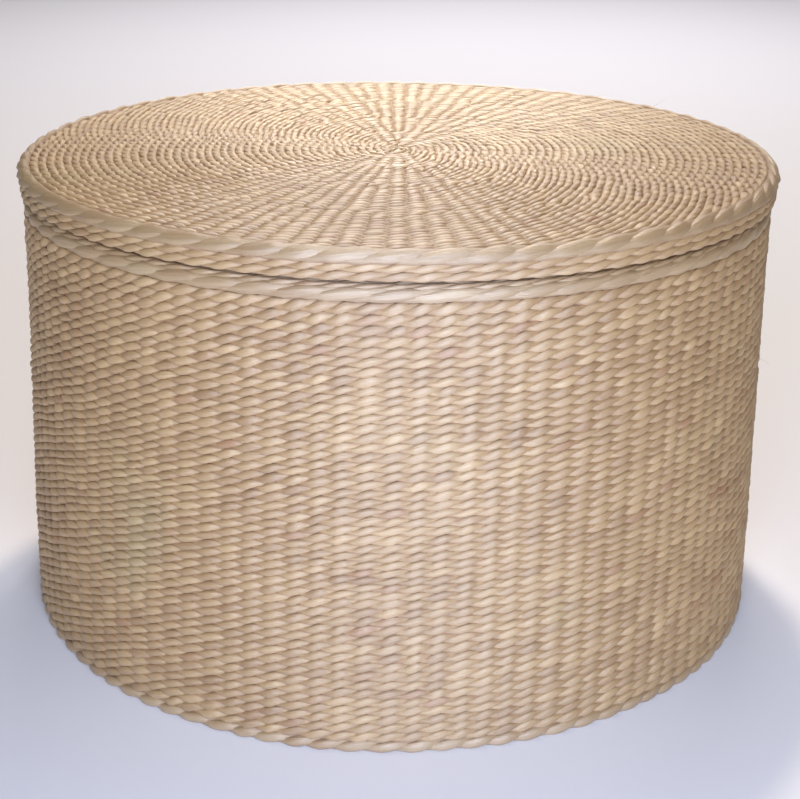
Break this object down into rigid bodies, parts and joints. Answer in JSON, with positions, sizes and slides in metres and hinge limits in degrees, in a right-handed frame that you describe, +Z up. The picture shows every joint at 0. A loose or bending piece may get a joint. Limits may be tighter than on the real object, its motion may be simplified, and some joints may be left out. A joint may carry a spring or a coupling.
{
  "type": "storage ottoman",
  "caption": "Round storage ottoman of hand-twined rush over a cane frame, with a flat, slightly overhanging lid that lifts straight off.",
  "frame": {"origin": "on the floor, under the centre of the ottoman", "axes": "+Z up, along the axis of the round body and the way the lid lifts; +X along the base slats and the lid battens"},
  "size_m": [0.604, 0.604, 0.374],
  "materials": {
    "rush_weave": "hand-twined dried rush, satin fibres, pale straw",
    "rush_border": "wide flattened rush strands, smooth satin",
    "cane": "peeled cane poles, clear satin",
    "plywood": "sanded birch plywood, unvarnished",
    "pine": "planed pine, unvarnished",
    "fastener_steel": "plain bright steel"
  },
  "bodies": {
    "base": {"wall_weave": "rush_weave", "rim_border": "rush_border", "foot_border": "rush_border", "base_weave": "rush_weave", "base_board": "plywood", "top_hoop": "cane", "middle_hoop": "cane", "bottom_hoop": "cane", "upright_1": "cane", "upright_2": "cane", "upright_3": "cane", "upright_4": "cane", "upright_5": "cane", "upright_6": "cane", "upright_7": "cane", "upright_8": "cane", "base_slat_1": "pine", "base_slat_2": "pine", "base_slat_3": "pine", "top_nail_1": "fastener_steel", "top_nail_2": "fastener_steel", "top_nail_3": "fastener_steel", "top_nail_4": "fastener_steel", "top_nail_5": "fastener_steel", "top_nail_6": "fastener_steel", "top_nail_7": "fastener_steel", "top_nail_8": "fastener_steel", "middle_nail_1": "fastener_steel", "middle_nail_2": "fastener_steel", "middle_nail_3": "fastener_steel", "middle_nail_4": "fastener_steel", "middle_nail_5": "fastener_steel", "middle_nail_6": "fastener_steel", "middle_nail_7": "fastener_steel", "middle_nail_8": "fastener_steel", "bottom_nail_1": "fastener_steel", "bottom_nail_2": "fastener_steel", "bottom_nail_3": "fastener_steel", "bottom_nail_4": "fastener_steel", "bottom_nail_5": "fastener_steel", "bottom_nail_6": "fastener_steel", "bottom_nail_7": "fastener_steel", "bottom_nail_8": "fastener_steel", "base_screw_1": "fastener_steel", "base_screw_2": "fastener_steel", "base_screw_3": "fastener_steel", "base_screw_4": "fastener_steel", "base_screw_5": "fastener_steel", "base_screw_6": "fastener_steel"},
    "lid": {"lid_cover_weave": "rush_weave", "lid_border": "rush_border", "lid_edge_weave": "rush_weave", "lid_board": "plywood", "lid_batten_1": "pine", "lid_batten_2": "pine", "locating_ring": "plywood", "lid_screw_1": "fastener_steel", "lid_screw_2": "fastener_steel", "lid_screw_3": "fastener_steel", "lid_screw_4": "fastener_steel"}
  },
  "joints": [
    {"name": "lid_lift", "type": "slide", "parent": "base", "child": "lid", "axis": [0, 0, 1], "range_m": [0, 0.4]}
  ]
}
